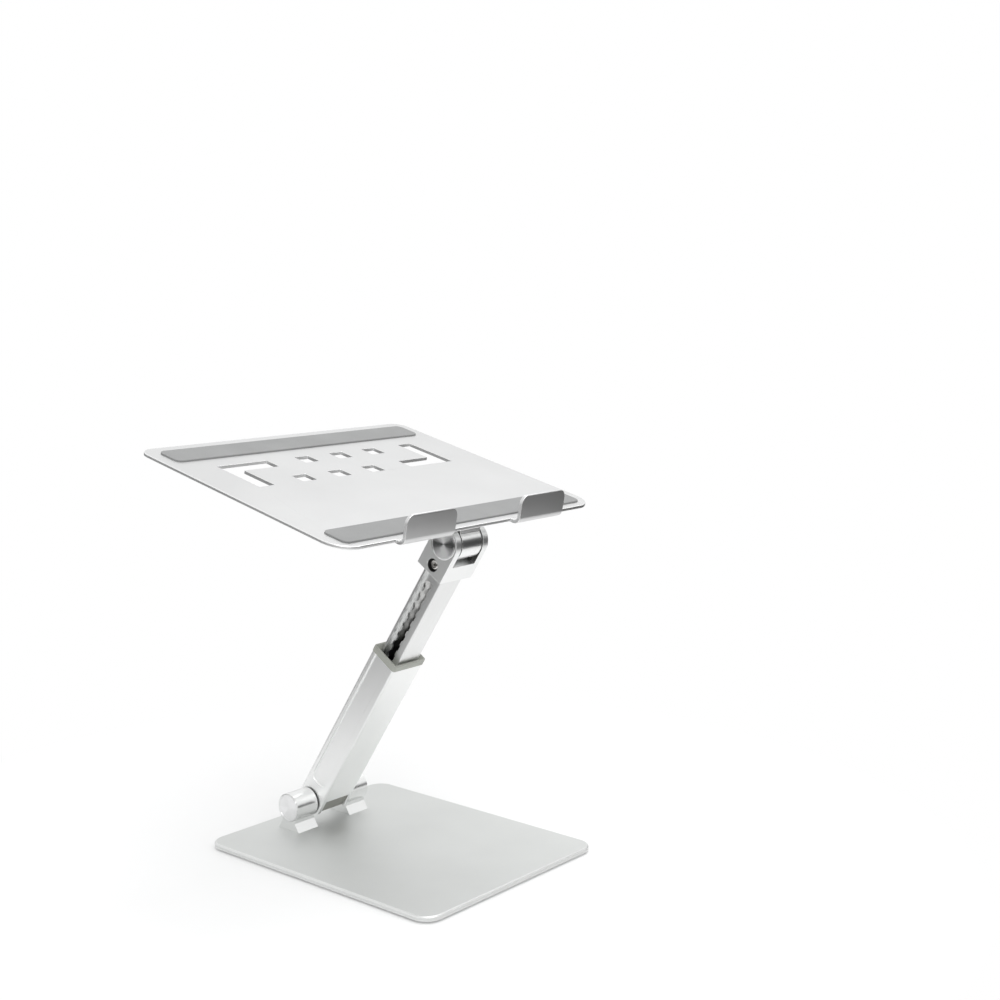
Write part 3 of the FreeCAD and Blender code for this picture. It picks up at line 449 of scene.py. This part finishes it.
def head_screw(side, word):
    """Domed screw with a hexagon socket, in a near-black sleeve inside its counterbore that
    paints the counterbore's shade.

    Both ride and fill the place of one screw; the screw itself is returned.
    """
    screw = frame["nodes"]["head_screws"]
    spots = [screw.matrix_world @ v.co for v in screw.data.vertices]
    face = max(p.x * side for p in spots)
    rim = [p for p in spots if abs(p.x * side - face) < 1e-5]
    at = Vector((0.0, (min(p.y for p in rim) + max(p.y for p in rim)) / 2,
                 (min(p.z for p in rim) + max(p.z for p in rim)) / 2))
    reach = max((Vector((0.0, p.y, p.z)) - at).length for p in rim)

    def hexagon(a):
        """Reach of the hexagon socket's side at an angle."""
        return 1.9 * MM / math.cos((a + 0.3) % (math.tau / 6) - math.tau / 12)

    seat, top, lip = face - 2.6 * MM, face + 0.4 * MM, face + 1.1 * MM
    dome = [(seat, 0.0), (seat, reach)]
    for i in range(7):
        a = math.radians(12.0 + i * 11.0)
        dome.append((top - 1.7 * MM * (1.0 - math.sin(a)) / 0.9, reach * math.cos(a) ** 0.55))
    dome += [(top, 2.35 * MM), (top - 0.15 * MM, hexagon), (top - 1.6 * MM, hexagon),
             (top - 2.0 * MM, 0.0)]
    bore, outside = reach + 0.05 * MM, reach + 0.55 * MM
    # The sleeve is painted shade: it lines the counterbore in near-black.
    sleeve = [(seat, bore), (seat, outside), (lip, outside), (lip, reach + 0.3 * MM),
              (face - 0.4 * MM, bore), (seat, bore)]
    made = [lathe(f"head_screw_{word}", dome, at, side, LOOK["black_screws"], 96),
            lathe(f"shade_ring_{word}", sleeve, at, side, SLEEVE_SHADE, 96)]
    for piece in made:
        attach(piece, screw["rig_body"])
    return made[0]


for side, word in ((-1.0, "left"), (1.0, "right")):
    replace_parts(head_screw(side, word), "head_screws")
for node, at in (("lower_cap", LOWER_AXIS), ("head_cap", UPPER_AXIS)):
    spun_cap(node + "_left", at, -1.0)
    spun_cap(node + "_right", at, 1.0)


# ---------------------------------------------------------------- studio
FLOOR_RADIUS = 0.5
FADE_START, FADE_END = 0.15, 0.42    # the floor turns from lit to plain white between these


def make_floor():
    """Pale floor whose far part fades into the background."""
    mesh = bmesh.new()
    bmesh.ops.create_circle(mesh, cap_ends=True, segments=96, radius=FLOOR_RADIUS)
    data = bpy.data.meshes.new("floor")
    mesh.to_mesh(data)
    mesh.free()
    floor = bpy.data.objects.new("floor", data)
    bpy.context.scene.collection.objects.link(floor)
    n = Nodes("pale_floor")
    n.set(Base_Color=(0.88, 0.88, 0.88, 1.0), Roughness=0.7)
    n.shader.inputs["Specular IOR Level"].default_value = 0.15
    far = n.add("ShaderNodeVectorMath", {0: n.place}, operation="LENGTH").outputs["Value"]
    glow = n.add("ShaderNodeEmission", {"Color": (1.0, 1.0, 1.0, 1.0), "Strength": 1.0})
    mix = n.add("ShaderNodeMixShader", {"Fac": n.span(far, 0.15, 1.0, FADE_START, FADE_END)})
    n.tree.links.new(n.shader.outputs[0], mix.inputs[1])
    n.tree.links.new(glow.outputs[0], mix.inputs[2])
    n.tree.links.new(mix.outputs[0], n.tree.nodes["Material Output"].inputs["Surface"])
    data.materials.append(n.material)


def make_world():
    """White to the camera; to the metal, a bright room with two dark bands low down."""
    world = bpy.data.worlds.new("studio")
    bpy.context.scene.world = world
    world.use_nodes = True
    tree = world.node_tree
    tree.nodes.clear()

    def add(kind, inputs=None, **fields):
        node = tree.nodes.new(kind)
        for field, value in fields.items():
            setattr(node, field, value)
        for key, value in (inputs or {}).items():
            if isinstance(value, bpy.types.NodeSocket):
                tree.links.new(value, node.inputs[key])
            else:
                node.inputs[key].default_value = value
        return node

    def step(value, start, end, low=0.0, high=1.0):
        return add("ShaderNodeMapRange", {"Value": value, "From Min": start, "From Max": end,
                                          "To Min": low, "To Max": high},
                   interpolation_type="SMOOTHSTEP").outputs["Result"]

    def calc(operation, a, b):
        return add("ShaderNodeMath", {0: a, 1: b}, operation=operation).outputs[0]

    way = add("ShaderNodeTexCoord").outputs["Generated"]
    height = add("ShaderNodeSeparateXYZ", {0: way}).outputs["Z"]

    def band(towards, start, end, middle, half, soft):
        """How far a direction lies in a band at one side of the room, about a height."""
        lobe = add("ShaderNodeVectorMath", {0: way, 1: towards}, operation="DOT_PRODUCT")
        off = calc("ABSOLUTE", calc("SUBTRACT", height, middle), 0.0)
        return calc("MULTIPLY", step(lobe.outputs["Value"], start, end),
                    step(off, half, half + soft, 1.0, 0.0))

    level = step(height, 0.05, 0.45, 0.80, 1.0)
    back_left = band((-0.80, 0.60, 0.0), -0.1, 0.25, -0.14, 0.12, 0.05)
    front_right = band((0.76, -0.65, 0.0), 0.45, 0.8, -0.19, 0.34, 0.10)
    for mask, dark in ((back_left, 0.045), (front_right, 0.04)):
        left = calc("SUBTRACT", 1.0, mask)
        level = calc("ADD", calc("MULTIPLY", level, left), calc("MULTIPLY", mask, dark))
    room = add("ShaderNodeCombineColor", {"Red": calc("MULTIPLY", level, 0.995),
                                          "Green": level, "Blue": level})
    sight = add("ShaderNodeLightPath").outputs["Is Camera Ray"]
    final = add("ShaderNodeMix", {"Factor": sight, "A": room.outputs[0],
                                  "B": (1.0, 1.0, 1.0, 1.0)}, data_type="RGBA")
    shine = add("ShaderNodeBackground", {"Color": final.outputs["Result"]})
    add("ShaderNodeOutputWorld", {"Surface": shine.outputs[0]})


def softbox(name, spot, aim, wide, tall, power):
    """Area light that faces a point."""
    data = bpy.data.lights.new(name, "AREA")
    data.shape = "RECTANGLE"
    data.size, data.size_y, data.energy = wide, tall, power
    light = bpy.data.objects.new(name, data)
    light.location = spot
    light.rotation_mode = "QUATERNION"
    light.rotation_quaternion = (Vector(aim) - Vector(spot)).to_track_quat("-Z", "Y")
    bpy.context.scene.collection.objects.link(light)


def make_camera():
    """Camera at the front left, a little above the tray's height."""
    azimuth, pitch = math.radians(49.75), math.radians(8.24)
    ahead = Vector((math.sin(azimuth) * math.cos(pitch), math.cos(azimuth) * math.cos(pitch),
                    -math.sin(pitch)))
    data = bpy.data.cameras.new("camera")
    data.lens, data.sensor_width = 56.55, 36.0
    camera = bpy.data.objects.new("camera", data)
    camera.location = (-0.7995, -0.7723, 0.4206)
    camera.rotation_mode = "QUATERNION"
    camera.rotation_quaternion = ahead.to_track_quat("-Z", "Y")
    bpy.context.scene.collection.objects.link(camera)
    bpy.context.scene.camera = camera


bpy.context.scene.view_settings.view_transform = "Standard"
make_camera()
make_floor()
make_world()
softbox("key", (-0.5, -0.9, 1.5), (0.0, 0.0, 0.1), 1.2, 1.2, 9.0)
softbox("top", (0.6, -0.05, 1.55), (0.2, -0.05, 0.0), 0.9, 0.9, 5.0)
